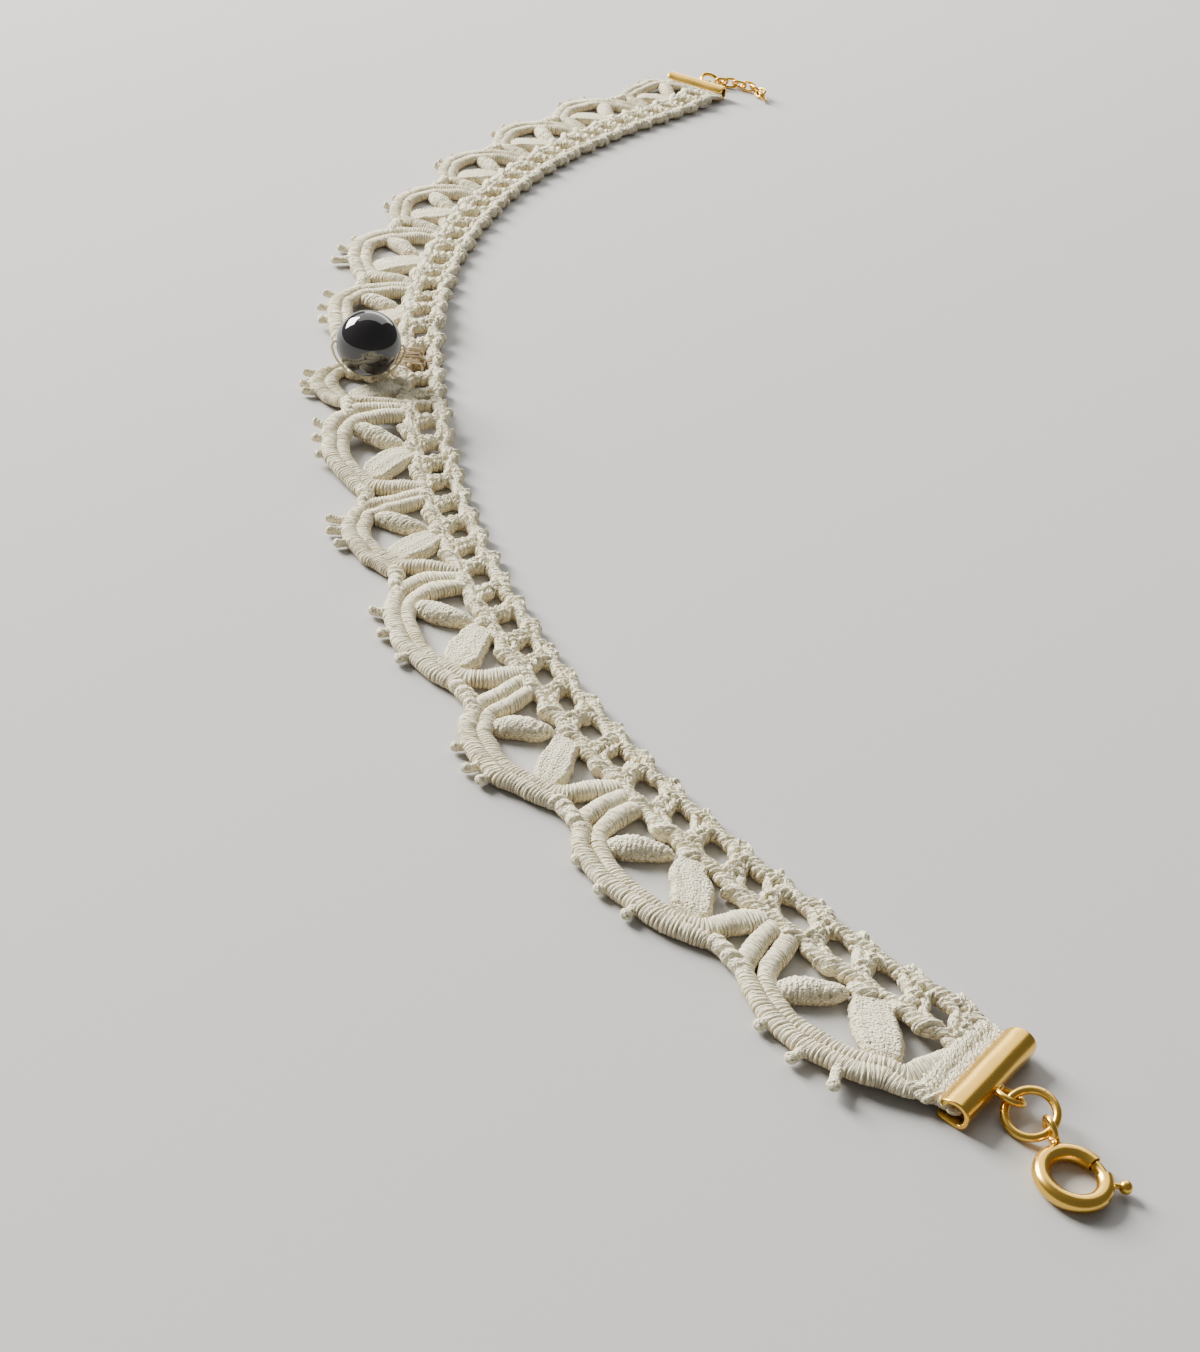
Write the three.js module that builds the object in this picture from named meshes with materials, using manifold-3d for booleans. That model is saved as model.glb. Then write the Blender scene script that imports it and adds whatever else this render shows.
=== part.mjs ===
// Lace choker: a band of scalloped guipure lace laid in an open curve, clamped at both cut ends
// in ribbon crimps, with a spring-ring clasp on one end, a short chain on the other and one bead
// sewn over the lace. Millimetres, +Z up, resting on z = 0, origin at the bottom centre of the box.
import * as THREE from 'three';
import { mergeVertices } from 'three/addons/utils/BufferGeometryUtils.js';
import Module from 'manifold-3d';

const wasm = await Module();
wasm.setup();

// ---- driving dimensions -------------------------------------------------------------------

const lace = {
  thickness: 1.3,          // wall of the lace
  startX: 35.31,           // where the line of heading eyelets leaves the near crimp
  startY: -115.14,
  startDirection: 145.8,   // degrees, the way the lace runs from the near crimp
  archSpring: 9.2,         // across the lace, where neighbouring arches meet
  archRise: 3.7,           // how far an arch stands out beyond that
  archRootFrom: 3,         // the reach of a scallop is stretched from here outward
  picotValley: -2.4,       // the picot edge, on the other side of the eyelets
  picotTip: -3.3,
  liftWidth: 9,            // across the lace, where the outer lift and lean are given
  tabLength: 1.75,         // what is clamped in a crimp
  tabLow: -2.5,
  tabHigh: 8.5,
  crimpLift: 0.58,         // the underside where it is clamped
  pinch: 0.48,             // thickness where it is clamped, compared with the rest
  pinchFrom: 0.3,          // how far from the end the thickness falls, in scallops
};

// One row for each scallop, from the near crimp to the far one: its length along the line of
// eyelets, how far the lace turns over it, and how far its arch reaches compared with the rest.
const scallops = [
  { length: 20.3, turn: -8.3, reach: 0.95 },
  { length: 19.9, turn: -8.0, reach: 0.92 },
  { length: 19.5, turn: -7.8, reach: 1.04 },
  { length: 18.3, turn: -7.1, reach: 1.0 },
  { length: 18.3, turn: -6.1, reach: 1.03 },
  { length: 17.3, turn: -4.9, reach: 1.03 },
  { length: 17.8, turn: -4.6, reach: 1.13 },
  { length: 20.1, turn: -6.5, reach: 1.0 },
  { length: 20.0, turn: -7.8, reach: 1.08 },
  { length: 18.9, turn: -7.7, reach: 0.97 },
  { length: 18.5, turn: -6.8, reach: 0.94 },
  { length: 18.6, turn: -6.9, reach: 0.95 },
  { length: 18.9, turn: -5.8, reach: 0.97 },
  { length: 18.8, turn: 7.5, reach: 0.8 },
];

// The lace puckers where the bead pulls on it, and rises to enter each crimp. A row gives the
// place in scallops, the lift of the eyelet line, the lift of the arches, and how far the arches
// lean along the lace.
const relief = [
  { at: 0.15, liftIn: lace.crimpLift, liftOut: lace.crimpLift, lean: 0 },
  { at: 0.6, liftIn: 0, liftOut: 0, lean: 0 },
  { at: 5, liftIn: 0, liftOut: 0, lean: 0 },
  { at: 5.5, liftIn: 0.3, liftOut: 0.6, lean: 0.2 },
  { at: 6, liftIn: 1.3, liftOut: 1.2, lean: 0.4 },
  { at: 6.3, liftIn: 0, liftOut: 0, lean: -0.3 },
  { at: 6.5, liftIn: 0, liftOut: 0, lean: -0.7 },
  { at: 7, liftIn: 0, liftOut: 0, lean: -2.8 },
  { at: 7.5, liftIn: 1.1, liftOut: 0.6, lean: 0 },
  { at: 8, liftIn: 0.3, liftOut: 0.4, lean: -1.3 },
  { at: 8.5, liftIn: 0, liftOut: 0, lean: 0.4 },
  { at: 9, liftIn: 0, liftOut: 0, lean: 0 },
  { at: 13.4, liftIn: 0, liftOut: 0, lean: 0 },
  { at: 13.85, liftIn: lace.crimpLift, liftOut: lace.crimpLift, lean: 0 },
];

const crimp = {
  length: 11.2,            // across the lace
  depth: 2.8,              // along the lace
  height: 2.4,
  plate: 0.4,
  lowRadius: 0.9,          // the outer edges of the fold, below and above
  highRadius: 1.2,
  lipDrop: 0.65,           // the upper lip is pressed down over the lace
  lipLength: 1.5,
  offset: 1.25,            // centre of the crimp beyond the last scallop
  across: 3,               // centre of the crimp across the lace
  eyeRadius: 1.15,
  eyeWire: 0.27,
  eyeHeight: 1.2,
  eyeOut: 2.38,            // centre of the eye from the centre of the crimp
  eyeTilt: -30,            // degrees, the eye out of level about its stem
  hold: 0.1,               // beyond the centre of the eye, where a ring's wire passes
};

// The jump rings lean on the table.
const ring = { radius: 2, wire: 0.36, lean: 25 };

const clasp = {
  radius: 2.45,
  tube: 0.7,
  bore: 0.57,
  boltWire: 0.44,
  eyeRadius: 1,
  eyeWire: 0.24,
  eyeOut: 4.2,             // centre of the eye from the centre of the clasp
  eyeLift: 0.52,           // centre of the eye above the middle of the tube
  eyeTilt: 75,             // degrees, the eye out of level about its stem
  knobAngle: 112,          // degrees from the knob round to the eye
  knobOut: 3.95,
  knobRadius: 0.55,
  stemRadius: 0.22,
  mouthFromKnob: 13,       // degrees from the knob to the mouth that opens
  mouthAngle: 32,
  boltTravel: 34,
  boltTail: 28,            // degrees of bolt on the other side of the knob
};
const link = { straight: 0.8, endRadius: 0.85, wire: 0.25, slack: 0.2, clear: 0.06 };
const bead = { at: 6.6, across: 6.2, height: 5.65, radius: 4, bore: 0.55 };
const thread = { radius: 0.22 };

const degree = Math.PI / 180;
const colours = {
  lace: 0xd9cfbb,
  gold: 0xd0a04a,
  hematite: 0x1c1b1d,
  thread: 0xb9935a,
};

// ---- the run of the lace ------------------------------------------------------------------

// Where each scallop begins, and the direction of the lace there.
const runStarts = [];
{
  let x = lace.startX;
  let y = lace.startY;
  let direction = lace.startDirection * degree;
  for (const row of scallops) {
    runStarts.push({ x, y, direction });
    const turn = row.turn * degree;
    x += (row.length / turn) * (Math.sin(direction + turn) - Math.sin(direction));
    y -= (row.length / turn) * (Math.cos(direction + turn) - Math.cos(direction));
    direction += turn;
  }
  runStarts.push({ x, y, direction });
}

// The eyelet line at a place given in scallops: each scallop is an arc, and the ends run straight.
function runAt(at) {
  const last = scallops.length;
  if (at <= 0 || at >= last) {
    const end = runStarts[at <= 0 ? 0 : last];
    const row = scallops[at <= 0 ? 0 : last - 1];
    const past = (at <= 0 ? at : at - last) * row.length;
    return {
      x: end.x + past * Math.cos(end.direction),
      y: end.y + past * Math.sin(end.direction),
      direction: end.direction,
    };
  }
  const index = Math.floor(at);
  const start = runStarts[index];
  const turn = scallops[index].turn * degree;
  const radius = scallops[index].length / turn;
  const direction = start.direction + turn * (at - index);
  return {
    x: start.x + radius * (Math.sin(direction) - Math.sin(start.direction)),
    y: start.y - radius * (Math.cos(direction) - Math.cos(start.direction)),
    direction,
  };
}

// A value from the relief table, eased between its rows.
function reliefAt(at, column) {
  if (at <= relief[0].at) return relief[0][column];
  for (let i = 1; i < relief.length; i += 1) {
    if (at <= relief[i].at) {
      const part = (at - relief[i - 1].at) / (relief[i].at - relief[i - 1].at);
      const ease = part * part * (3 - 2 * part);
      return relief[i - 1][column] * (1 - ease) + relief[i][column] * ease;
    }
  }
  return relief[relief.length - 1][column];
}

// How far the arches reach, changing evenly from the middle of one scallop to the next.
function reachAt(at) {
  const place = Math.min(Math.max(at - 0.5, 0), scallops.length - 1);
  const index = Math.min(Math.floor(place), scallops.length - 2);
  const part = place - index;
  return scallops[index].reach * (1 - part) + scallops[index + 1].reach * part;
}

// How far the crimps press the lace together, as a share of its thickness.
function pinchAt(at) {
  const fromEnd = Math.min(at, scallops.length - at) / lace.pinchFrom;
  const part = Math.min(Math.max(fromEnd, 0), 1);
  return lace.pinch + (1 - lace.pinch) * part * part * (3 - 2 * part);
}

// A point of the lace: its place along in scallops, across in mm from the line of eyelets, and
// height above the underside.
function lacePoint(at, across, height) {
  const run = runAt(at);
  const root = lace.archRootFrom;
  const wide = across > root ? root + (across - root) * reachAt(at) : across;
  const share = wide / lace.liftWidth;
  const lean = reliefAt(at, 'lean') * Math.min(Math.max(share, 0), 1.5);
  const liftIn = reliefAt(at, 'liftIn');
  const liftOut = reliefAt(at, 'liftOut');
  const cos = Math.cos(run.direction);
  const sin = Math.sin(run.direction);
  return new THREE.Vector3(
    run.x - wide * sin + lean * cos,
    run.y + wide * cos + lean * sin,
    liftIn + (liftOut - liftIn) * Math.min(Math.max(share, 0), 1) + height * pinchAt(at),
  );
}

// ---- lace ---------------------------------------------------------------------------------

// The outlines of one scallop. along is in scallops from its near end, across is in mm.
const eyeletSide = { low: -1.1, high: 1.1, in: 0.07, corner: 0.6 };
const vWindow = { low: 5, high: 8.2, in: 0.055, waist: 7.5 };
const openings = [
  { // the window under the arch
    along: [0.29, 0.36, 0.46, 0.57, 0.68, 0.75, 0.6, 0.46, 0.37],
    across: [8.3, 9.1, 9.6, 9.6, 9.1, 8.2, 7.2, 6.0, 7.1],
  },
  { // between the double bars, the small leaf and the heading
    along: [0.79, 0.89, 0.65, 0.61, 0.7, 0.77],
    across: [6.4, 2.6, 2.4, 3.3, 4.1, 5.2],
  },
  { // between the single bar, the large leaf and the heading
    along: [0.36, 0.17, 0.19, 0.25],
    across: [2.9, 2.6, 5.0, 4.4],
  },
  { along: [0.2, 0.25, 0.3, 0.25], across: [0.1, -0.9, 0.1, 1.1] },
  { along: [0.44, 0.5, 0.56, 0.5], across: [0.1, -1.0, 0.1, 1.2] },
  { along: [0.7, 0.75, 0.8, 0.75], across: [0.1, -0.9, 0.1, 1.1] },
];
const picotsPerScallop = 4;
const archSteps = 10;

function archEdge(along) {
  const part = Math.min(Math.max((along - 0.06) / 0.88, 0), 1);
  return lace.archSpring + lace.archRise * Math.sin(Math.PI * part) ** 0.7;
}

function asPoints(outline) {
  return outline.along.map((along, i) => new THREE.Vector2(along, outline.across[i]));
}

// One side of the cell, from the picot edge up: the points that it shares with its neighbour and
// half of the eyelet and of the V window that lie across the join.
function cellSide(place, inward) {
  const e = eyeletSide;
  const v = vWindow;
  return [
    new THREE.Vector2(place, -2.9),
    new THREE.Vector2(place, e.low),
    new THREE.Vector2(place + inward * e.in, -e.corner),
    new THREE.Vector2(place + inward * e.in, e.corner),
    new THREE.Vector2(place, e.high),
    new THREE.Vector2(place, v.low),
    new THREE.Vector2(place + inward * v.in, v.waist),
    new THREE.Vector2(place + inward * v.in, v.high),
    new THREE.Vector2(place, v.high),
    new THREE.Vector2(place, lace.archSpring),
  ];
}

function scallopOutline() {
  const picotEdge = [];
  for (let i = 0; i < picotsPerScallop; i += 1) {
    picotEdge.push(new THREE.Vector2((i + 0.38) / picotsPerScallop, lace.picotValley));
    picotEdge.push(new THREE.Vector2((i + 0.88) / picotsPerScallop, lace.picotTip));
  }
  const arch = [];
  for (let i = archSteps - 1; i > 0; i -= 1) {
    arch.push(new THREE.Vector2(i / archSteps, archEdge(i / archSteps)));
  }
  const nearSide = cellSide(0, 1);
  const [nearCorner, ...nearRest] = nearSide;
  return [nearCorner, ...picotEdge, ...cellSide(1, -1), ...arch, ...nearRest.reverse()];
}

function tabOutline(place, outward) {
  const length = outward * lace.tabLength;
  const e = eyeletSide;
  const joined = [-2.9, e.low, e.high, vWindow.low, vWindow.high, lace.archSpring];
  const outline = joined.map((across) => new THREE.Vector2(place, across));
  outline.push(new THREE.Vector2(place + length, lace.tabHigh));
  outline.push(new THREE.Vector2(place + length, lace.tabLow));
  return outward > 0 ? outline.reverse() : outline;
}

// True where two neighbouring points lie on a join between cells with lace on both sides.
function onJoin(a, b, places) {
  const shared = [
    [-2.9, eyeletSide.low],
    [eyeletSide.high, vWindow.low],
    [vWindow.high, lace.archSpring],
  ];
  const place = places.find((p) => Math.abs(a.x - p) < 1e-9 && Math.abs(b.x - p) < 1e-9);
  if (place === undefined) return false;
  const low = Math.min(a.y, b.y);
  const high = Math.max(a.y, b.y);
  return shared.some(([from, to]) => Math.abs(low - from) < 1e-9 && Math.abs(high - to) < 1e-9);
}

// Adds one flat outline with its holes as a piece of wall: top, underside and edges.
function addWall(positions, outline, holes, joins, toLace) {
  const loops = [outline, ...holes];
  if (THREE.ShapeUtils.isClockWise(outline)) outline.reverse();
  for (const hole of holes) {
    if (!THREE.ShapeUtils.isClockWise(hole)) hole.reverse();
  }
  const flat = loops.flat();
  const low = flat.map((p) => toLace(p, 0));
  const high = flat.map((p) => toLace(p, lace.thickness));
  const push = (...corners) => {
    for (const c of corners) positions.push(c.x, c.y, c.z);
  };
  for (const [a, b, c] of THREE.ShapeUtils.triangulateShape(outline, holes)) {
    push(high[a], high[b], high[c]);
    push(low[a], low[c], low[b]);
  }
  let first = 0;
  for (const loop of loops) {
    loop.forEach((point, i) => {
      const next = (i + 1) % loop.length;
      if (onJoin(point, loop[next], joins)) return;
      const a = first + i;
      const b = first + next;
      push(low[a], low[b], high[b]);
      push(low[a], high[b], high[a]);
    });
    first += loop.length;
  }
}

function laceBand() {
  const positions = [];
  scallops.forEach((_, index) => {
    addWall(positions, scallopOutline(), openings.map(asPoints), [0, 1],
      (p, height) => lacePoint(index + p.x, p.y, height));
  });
  const last = scallops.length;
  const lastLength = scallops[last - 1].length;
  addWall(positions, tabOutline(0, -1), [], [0],
    (p, height) => lacePoint(p.x / scallops[0].length, p.y, height));
  addWall(positions, tabOutline(0, 1), [], [0],
    (p, height) => lacePoint(last + p.x / lastLength, p.y, height));
  const geometry = new THREE.BufferGeometry();
  geometry.setAttribute('position', new THREE.Float32BufferAttribute(positions, 3));
  return mergeVertices(geometry, 1e-4);
}

// ---- solids -------------------------------------------------------------------------------

function toSolid(geometry) {
  const plain = geometry.index ? geometry.toNonIndexed() : geometry.clone();
  plain.deleteAttribute('normal');
  plain.deleteAttribute('uv');
  const merged = mergeVertices(plain, 1e-5);
  return new wasm.Manifold(new wasm.Mesh({
    numProp: 3,
    vertProperties: new Float32Array(merged.attributes.position.array),
    triVerts: new Uint32Array(merged.index.array),
  }));
}

function fromSolid(solid) {
  const mesh = solid.getMesh();
  const geometry = new THREE.BufferGeometry();
  geometry.setAttribute('position', new THREE.BufferAttribute(mesh.vertProperties, 3));
  geometry.setIndex(new THREE.BufferAttribute(mesh.triVerts, 1));
  return geometry;
}

// A wire bent along a level centre line given by a function of 0 to 1, closed on itself or capped.
function wireAlong(centreAt, wire, steps, sides, closed) {
  const rings = closed ? steps : steps + 1;
  const positions = [];
  const index = [];
  for (let i = 0; i < rings; i += 1) {
    const part = i / steps;
    const centre = centreAt(part);
    const ahead = centreAt(closed ? (part + 1e-3) % 1 : Math.min(part + 1e-3, 1));
    const behind = centreAt(closed ? (part + 1 - 1e-3) % 1 : Math.max(part - 1e-3, 0));
    const along = new THREE.Vector2(ahead.x - behind.x, ahead.y - behind.y).normalize();
    for (let j = 0; j < sides; j += 1) {
      const angle = ((j + 0.5) / sides) * 2 * Math.PI;
      const out = wire * Math.cos(angle);
      positions.push(centre.x + along.y * out, centre.y - along.x * out, wire * Math.sin(angle));
    }
  }
  const spans = closed ? rings : rings - 1;
  for (let i = 0; i < spans; i += 1) {
    const from = i * sides;
    const to = ((i + 1) % rings) * sides;
    for (let j = 0; j < sides; j += 1) {
      const next = (j + 1) % sides;
      index.push(from + j, to + j, to + next, from + j, to + next, from + next);
    }
  }
  if (!closed) {
    const end = (rings - 1) * sides;
    for (let j = 1; j < sides - 1; j += 1) {
      index.push(0, j, j + 1);
      index.push(end, end + j + 1, end + j);
    }
  }
  const geometry = new THREE.BufferGeometry();
  geometry.setAttribute('position', new THREE.Float32BufferAttribute(positions, 3));
  geometry.setIndex(index);
  return geometry;
}

function circleAt(radius, from, span) {
  return (part) => new THREE.Vector2(
    radius * Math.cos(from + span * part),
    radius * Math.sin(from + span * part),
  );
}

// The centre line of a chain link: two half circles joined by straight sides.
function linkCentreAt(part) {
  const half = Math.PI * link.endRadius;
  const round = 2 * (half + link.straight);
  let way = (part % 1) * round;
  const side = link.straight / 2;
  if (way < half) {
    const angle = way / link.endRadius - Math.PI / 2;
    return new THREE.Vector2(
      side + link.endRadius * Math.cos(angle),
      link.endRadius * Math.sin(angle),
    );
  }
  way -= half;
  if (way < link.straight) return new THREE.Vector2(side - way, link.endRadius);
  way -= link.straight;
  if (way < half) {
    const angle = way / link.endRadius + Math.PI / 2;
    return new THREE.Vector2(
      -side + link.endRadius * Math.cos(angle),
      link.endRadius * Math.sin(angle),
    );
  }
  way -= half;
  return new THREE.Vector2(-side + way, -link.endRadius);
}

// ---- crimps -------------------------------------------------------------------------------

// The folded plate is drawn with x away from the lace and y up, and extruded across the lace.
function crimpPlate() {
  const half = crimp.depth / 2;
  const low = crimp.lowRadius;
  const high = crimp.highRadius;
  const plate = crimp.plate;
  const top = crimp.height;
  const lipFrom = crimp.lipLength - half;
  const lip = top - crimp.lipDrop;
  const fold = new THREE.Shape();
  fold.moveTo(-half, 0);
  fold.lineTo(half - low, 0);
  fold.absarc(half - low, low, low, -Math.PI / 2, 0, false);
  fold.lineTo(half, top - high);
  fold.absarc(half - high, top - high, high, 0, Math.PI / 2, false);
  fold.lineTo(lipFrom, top);
  fold.quadraticCurveTo((lipFrom - half) / 2, top, -half, lip);
  fold.lineTo(-half, lip - plate);
  fold.quadraticCurveTo((lipFrom - half) / 2, top - plate, lipFrom, top - plate);
  fold.lineTo(half - high, top - plate);
  fold.absarc(half - high, top - high, high - plate, Math.PI / 2, 0, true);
  fold.lineTo(half - plate, low);
  fold.absarc(half - low, low, low - plate, 0, -Math.PI / 2, true);
  fold.lineTo(-half, plate);
  const geometry = new THREE.ExtrudeGeometry(fold, {
    depth: crimp.length,
    bevelEnabled: false,
    curveSegments: 4,
  });
  geometry.translate(0, 0, -crimp.length / 2);
  geometry.rotateX(Math.PI / 2);
  return geometry;
}

function crimpGeometry(eyeAcross) {
  const eye = new THREE.TorusGeometry(crimp.eyeRadius, crimp.eyeWire, 8, 20);
  eye.rotateX(crimp.eyeTilt * degree);
  eye.translate(crimp.eyeOut, eyeAcross, crimp.eyeHeight);
  return fromSolid(toSolid(crimpPlate()).add(toSolid(eye)));
}

// ---- spring-ring clasp --------------------------------------------------------------------

// Both are drawn level about the centre of the clasp, with the eye on +x. The bolt lies in the
// tube of the ring, closes the mouth, and slides back round by its travel.
const knobFromEye = -clasp.knobAngle * degree;
const mouthFrom = knobFromEye + clasp.mouthFromKnob * degree;
const mouthSpan = clasp.mouthAngle * degree;
const travel = clasp.boltTravel * degree;
const boltFrom = knobFromEye - clasp.boltTail * degree;
const boltSpan = mouthFrom + mouthSpan * 1.2 - boltFrom;
const borePlay = 0.12;     // radians left free at each end of the bolt

function claspRing() {
  const boreFrom = boltFrom - travel - borePlay;
  const boreSpan = boltFrom + boltSpan + borePlay - boreFrom;
  const boreLine = circleAt(clasp.radius, boreFrom, boreSpan);
  const mouthLine = circleAt(clasp.radius, mouthFrom, mouthSpan);
  let solid = toSolid(new THREE.TorusGeometry(clasp.radius, clasp.tube, 10, 40));
  solid = solid.subtract(toSolid(wireAlong(boreLine, clasp.bore, 18, 10, false)));
  solid = solid.subtract(toSolid(wireAlong(mouthLine, 2 * clasp.tube, 6, 4, false)));
  const slotWide = 2 * clasp.stemRadius + 0.3;
  const slot = new THREE.BoxGeometry(2 * clasp.tube, slotWide, slotWide);
  slot.translate(clasp.radius + clasp.tube, 0, 0);
  const slotCuts = 6;
  for (let i = 0; i <= slotCuts; i += 1) {
    const cut = slot.clone();
    cut.rotateZ(knobFromEye - (travel * i) / slotCuts);
    solid = solid.subtract(toSolid(cut));
  }
  const eye = new THREE.TorusGeometry(clasp.eyeRadius, clasp.eyeWire, 8, 20);
  eye.rotateX(clasp.eyeTilt * degree);
  eye.translate(clasp.eyeOut, 0, clasp.eyeLift);
  return fromSolid(solid.add(toSolid(eye)));
}

function claspSlider() {
  const boltLine = circleAt(clasp.radius, boltFrom, boltSpan);
  const bolt = toSolid(wireAlong(boltLine, clasp.boltWire, 14, 10, false));
  const stemLength = clasp.knobOut - clasp.radius;
  const stem = new THREE.CylinderGeometry(clasp.stemRadius, clasp.stemRadius, stemLength, 8);
  stem.rotateZ(-Math.PI / 2);
  stem.translate(clasp.radius + stemLength / 2, 0, 0);
  stem.rotateZ(knobFromEye);
  const knob = new THREE.SphereGeometry(clasp.knobRadius, 12, 8);
  knob.translate(clasp.knobOut, 0, 0);
  knob.rotateZ(knobFromEye);
  return fromSolid(bolt.add(toSolid(stem)).add(toSolid(knob)));
}

// ---- bead and its thread ------------------------------------------------------------------

function beadGeometry() {
  const profile = [];
  const from = Math.asin(bead.bore / bead.radius);
  const steps = 12;
  for (let i = 0; i <= steps; i += 1) {
    const angle = from + ((Math.PI - 2 * from) * i) / steps;
    profile.push(new THREE.Vector2(
      bead.radius * Math.sin(angle),
      -bead.radius * Math.cos(angle),
    ));
  }
  profile.push(profile[0].clone());
  return new THREE.LatheGeometry(profile, 24);
}

function threadGeometry(points) {
  const section = new THREE.Shape();
  section.absarc(0, 0, thread.radius, 0, 2 * Math.PI, false);
  return new THREE.ExtrudeGeometry(section, {
    steps: 26,
    bevelEnabled: false,
    curveSegments: 3,
    extrudePath: new THREE.CatmullRomCurve3(points, false, 'centripetal'),
  });
}

// ---- assembly -----------------------------------------------------------------------------

const choker = new THREE.Group();

function finish(colour, roughness, metalness) {
  return new THREE.MeshStandardMaterial({ color: colour, roughness, metalness });
}

function addPiece(name, geometry, material) {
  const mesh = new THREE.Mesh(geometry, material);
  mesh.name = name;
  choker.add(mesh);
  return mesh;
}

// Sets a piece down at a point, facing a direction in the plane of the table, with its own
// pitch and its roll about that direction, all in degrees.
function place(mesh, x, y, z, direction, pitch = 0, roll = 0) {
  mesh.rotation.set(roll * degree, -pitch * degree, direction * degree, 'ZYX');
  mesh.position.set(x, y, z);
}

const goldFinish = () => finish(colours.gold, 0.28, 1);

addPiece('lace_band', laceBand(), finish(colours.lace, 0.8, 0));

// A crimp sits on the end of the lace with its fold outward. Returns where the wire of a jump
// ring passes through its eye.
function addCrimp(name, at, outward, eyeAcross) {
  const run = runAt(at);
  const out = run.direction + (outward < 0 ? Math.PI : 0);
  const cos = Math.cos(out);
  const sin = Math.sin(out);
  const x = run.x - crimp.across * Math.sin(run.direction) + crimp.offset * cos;
  const y = run.y + crimp.across * Math.cos(run.direction) + crimp.offset * sin;
  place(addPiece(name, crimpGeometry(eyeAcross), goldFinish()), x, y, 0, out / degree);
  const held = crimp.eyeOut + crimp.hold;
  return {
    x: x + held * cos - eyeAcross * sin,
    y: y + held * sin + eyeAcross * cos,
  };
}

const nearHold = addCrimp('crimp_near', 0, -1, -0.65);
const farHold = addCrimp('crimp_far', scallops.length, 1, -0.3);

// A jump ring from where its wire crosses an eye, leaning on the table. Returns the middle of
// its wire on the other side.
function addJumpRing(name, hold, heading) {
  const z = ring.radius * Math.sin(ring.lean * degree) + ring.wire;
  const cos = Math.cos(heading * degree);
  const sin = Math.sin(heading * degree);
  const x = hold.x + ring.radius * cos;
  const y = hold.y + ring.radius * sin;
  const geometry = new THREE.TorusGeometry(ring.radius, ring.wire, 8, 24);
  place(addPiece(name, geometry, goldFinish()), x, y, z, heading, 0, ring.lean);
  return { x: x + ring.radius * cos, y: y + ring.radius * sin, z };
}

// The clasp lies flat, held by the eye that turns back towards the jump ring.
const nearEnd = addJumpRing('jump_ring_near', nearHold, -46);
const claspHeading = -70.5;
const claspX = nearEnd.x + clasp.eyeOut * Math.cos(claspHeading * degree);
const claspY = nearEnd.y + clasp.eyeOut * Math.sin(claspHeading * degree);
const claspDirection = claspHeading + 180;
place(addPiece('clasp_ring', claspRing(), goldFinish()),
  claspX, claspY, clasp.tube, claspDirection);
place(addPiece('clasp_slider', claspSlider(), goldFinish()),
  claspX, claspY, clasp.tube, claspDirection);

// The chain: each link is hooked on the end of the one before and leans the other way.
const chain = [
  { heading: 28, lean: -55 },
  { heading: 8, lean: 42 },
  { heading: -10, lean: -45 },
  { heading: -29, lean: 45 },
  { heading: -48, lean: -45 },
  { heading: -67, lean: 45 },
  { heading: -84, lean: -45 },
];
const farRingHeading = 47;
let hook = addJumpRing('jump_ring_far', farHold, farRingHeading);
let hookWire = ring.wire;
let lastHeading = farRingHeading;
const linkReach = link.straight / 2 + link.endRadius;
chain.forEach((row, i) => {
  const middle = ((row.heading + lastHeading) / 2) * degree;
  const overlap = hookWire + link.wire + link.slack;
  const level = link.endRadius * Math.sin(Math.abs(row.lean) * degree) + link.wire + link.clear;
  const pitch = Math.asin((level - hook.z) / linkReach);
  const run = linkReach * Math.cos(pitch);
  const cos = Math.cos(row.heading * degree);
  const sin = Math.sin(row.heading * degree);
  const x = hook.x - overlap * Math.cos(middle) + run * cos;
  const y = hook.y - overlap * Math.sin(middle) + run * sin;
  const geometry = wireAlong(linkCentreAt, link.wire, 20, 6, true);
  place(addPiece(`chain_link_${i + 1}`, geometry, goldFinish()),
    x, y, level, row.heading, pitch / degree, row.lean);
  hook = { x: x + run * cos, y: y + run * sin, z: 2 * level - hook.z };
  hookWire = link.wire;
  lastHeading = row.heading;
});

// The bead is bored straight across the lace, and its thread runs through it into the lace.
const beadRun = runAt(bead.at);
const beadCentre = lacePoint(bead.at, bead.across, 0).setZ(bead.height);
const beadMesh = addPiece('bead', beadGeometry(), finish(colours.hematite, 0.06, 0.6));
place(beadMesh, beadCentre.x, beadCentre.y, beadCentre.z, beadRun.direction / degree);
const across = new THREE.Vector3(-Math.sin(beadRun.direction), Math.cos(beadRun.direction), 0);
const threadPath = [
  [-2.8, 1.95], [-3.5, 2.75], [-4.05, 3.6], [-4.36, 4.4], [-4.48, 5.1], [-4.25, 5.55], [-3.85, 5.62],
  [-1.5, 5.62], [1.5, 5.62], [3.85, 5.62], [4.25, 5.55], [4.48, 5.1], [4.36, 4.4], [4.05, 3.6],
  [3.5, 2.75], [2.8, 1.95],
].map(([side, up]) => beadCentre.clone().addScaledVector(across, side).setZ(up));
addPiece('bead_thread', threadGeometry(threadPath), finish(colours.thread, 0.8, 0));

export default choker;
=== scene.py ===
import math
import bpy
import numpy as np
from mathutils import Matrix, Vector


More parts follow.
